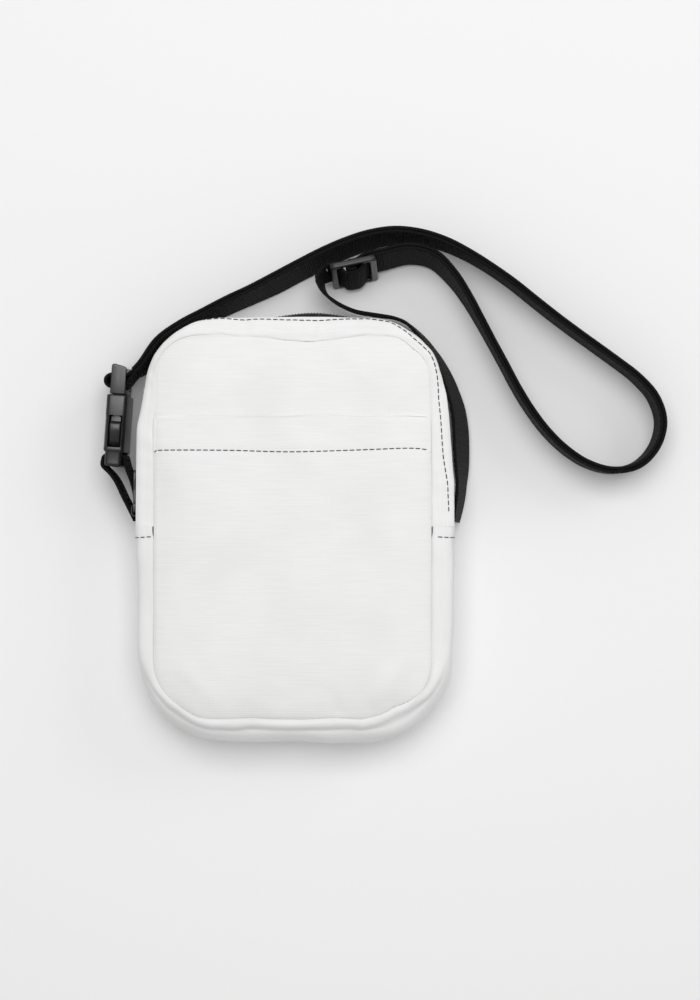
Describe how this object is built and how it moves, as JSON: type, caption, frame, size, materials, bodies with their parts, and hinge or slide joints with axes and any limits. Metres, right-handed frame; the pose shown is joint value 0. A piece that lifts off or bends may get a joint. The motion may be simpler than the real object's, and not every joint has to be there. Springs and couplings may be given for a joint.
{
  "type": "shoulder bag",
  "caption": "Small flat-backed fabric shoulder bag with a zipped main compartment, front pocket, webbing strap, strap adjuster and side-release buckle, lying on its back.",
  "frame": {"origin": "centre of the face of the back panel that the bag rests on", "axes": "+Z out of the front panel, +Y towards the top of the bag, +X to the right as seen from the front"},
  "size_m": [0.2601, 0.2377, 0.0476],
  "materials": {
    "white_fabric": "woven polyester with fine ribs",
    "lining": "plain woven lining",
    "seam_binding": "black binding tape",
    "webbing": "ribbed black webbing",
    "zip_tape": "black woven tape",
    "zip_coil": "black nylon coil",
    "zip_metal": "black enamel",
    "buckle_plastic": "moulded acetal, satin black"
  },
  "bodies": {
    "bag": {"back_panel": "white_fabric", "lower_gusset": "white_fabric", "rear_zip_strip": "white_fabric", "front_strip_end_left": "white_fabric", "front_strip_end_right": "white_fabric", "front_panel_lower": "white_fabric", "pocket_panel_lower": "white_fabric", "side_lining": "lining", "back_lining": "lining", "front_lining_lower": "lining", "back_seam_binding": "seam_binding", "front_seam_binding_lower": "seam_binding", "zip_tape_rear": "zip_tape", "zip_coil_rear": "zip_coil", "side_tab": "webbing", "buckle_socket": "buckle_plastic", "strap_outer_layer": "webbing", "strap_inner_layer": "webbing", "strap_single_layer": "webbing"},
    "front_flap": {"front_panel_upper": "white_fabric", "pocket_panel_upper": "white_fabric", "front_zip_strip": "white_fabric", "front_lining_upper": "lining", "front_seam_binding_upper": "seam_binding", "zip_coil_front": "zip_coil", "zip_tape_front": "zip_tape"},
    "zip_slider": {"zip_slider": "zip_metal"},
    "zip_pull": {"zip_pull": "zip_metal"},
    "buckle_plug": {"buckle_plug": "buckle_plastic", "strap_buckle_loop": "webbing"},
    "latch_arm_upper": {"latch_arm_upper": "buckle_plastic"},
    "latch_arm_lower": {"latch_arm_lower": "buckle_plastic"},
    "strap_adjuster": {"strap_adjuster": "buckle_plastic", "strap_wrap": "webbing", "strap_sewn_fold": "webbing"}
  },
  "joints": [
    {"name": "front_opening", "type": "hinge", "parent": "bag", "child": "front_flap", "pos_m": [0, 0.012, 0.048], "axis": [1, 0, 0], "range_deg": [0, 50]},
    {"name": "zip_slide", "type": "slide", "parent": "bag", "child": "zip_slider", "axis": [0.0125, 0.9999, 0], "range_m": [0, 0.03]},
    {"name": "zip_pull_swing", "type": "hinge", "parent": "zip_slider", "child": "zip_pull", "pos_m": [-0.07323, 0.00943, 0.0332], "axis": [0, 0, 1], "range_deg": [0, 150]},
    {"name": "buckle_release", "type": "slide", "parent": "bag", "child": "buckle_plug", "axis": [0.0698, 0.9976, 0], "range_m": [0, 0.026], "deforming": ["strap_outer_layer", "strap_inner_layer", "latch_arm_upper", "latch_arm_lower"]},
    {"name": "latch_upper_squeeze", "type": "hinge", "parent": "buckle_plug", "child": "latch_arm_upper", "pos_m": [-0.08114, 0.06202, 0.0284], "axis": [0.9976, -0.0698, 0], "range_deg": [0, 9], "stiffness_Nm_per_rad": 0.05},
    {"name": "latch_lower_squeeze", "type": "hinge", "parent": "buckle_plug", "child": "latch_arm_lower", "pos_m": [-0.08114, 0.06202, 0.0052], "axis": [0.9976, -0.0698, 0], "range_deg": [-9, 0], "stiffness_Nm_per_rad": 0.05},
    {"name": "adjuster_slide", "type": "slide", "parent": "bag", "child": "strap_adjuster", "axis": [0.9781, 0.2079, 0], "range_m": [-0.003, 0.012], "deforming": ["strap_single_layer", "strap_outer_layer", "strap_inner_layer"]}
  ],
  "couplings": [
    {"joint": "latch_lower_squeeze", "follows": "latch_upper_squeeze", "ratio": -1}
  ]
}
